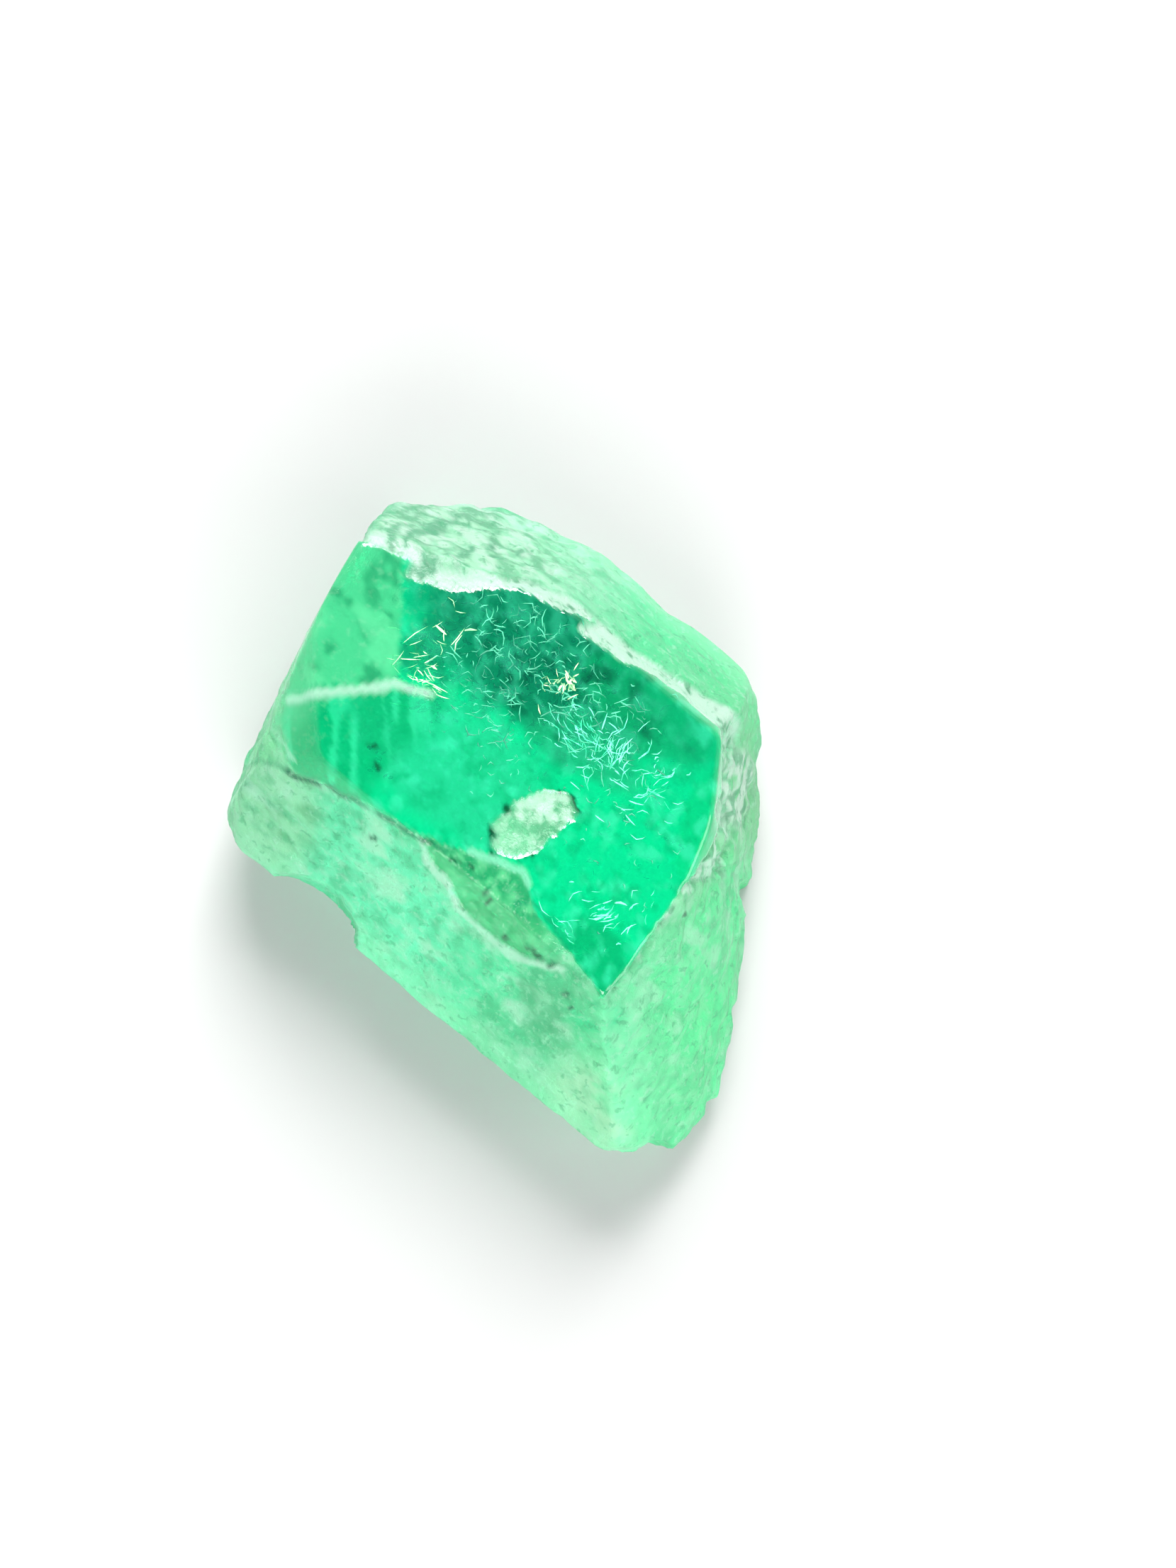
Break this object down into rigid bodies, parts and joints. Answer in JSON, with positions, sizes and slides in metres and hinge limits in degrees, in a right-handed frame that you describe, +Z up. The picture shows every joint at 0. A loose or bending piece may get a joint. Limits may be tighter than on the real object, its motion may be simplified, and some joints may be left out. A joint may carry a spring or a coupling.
{
  "type": "emerald crystal",
  "caption": "Loose natural emerald crystal, a stubby green hexagonal prism with a flat end, a broken wedge end and a chipped edge, lying on a prism face",
  "frame": {"origin": "middle of the outline, on the plane that the crystal lies on", "axes": "+X along the prism from the flat end to the broken end, +Z up out of the broad clear face"},
  "size_m": [0.0119, 0.0088, 0.0054],
  "materials": {
    "emerald": "clear green crystal with frosted flanks"
  },
  "bodies": {
    "root": {"emerald_crystal": "emerald"}
  },
  "joints": []
}
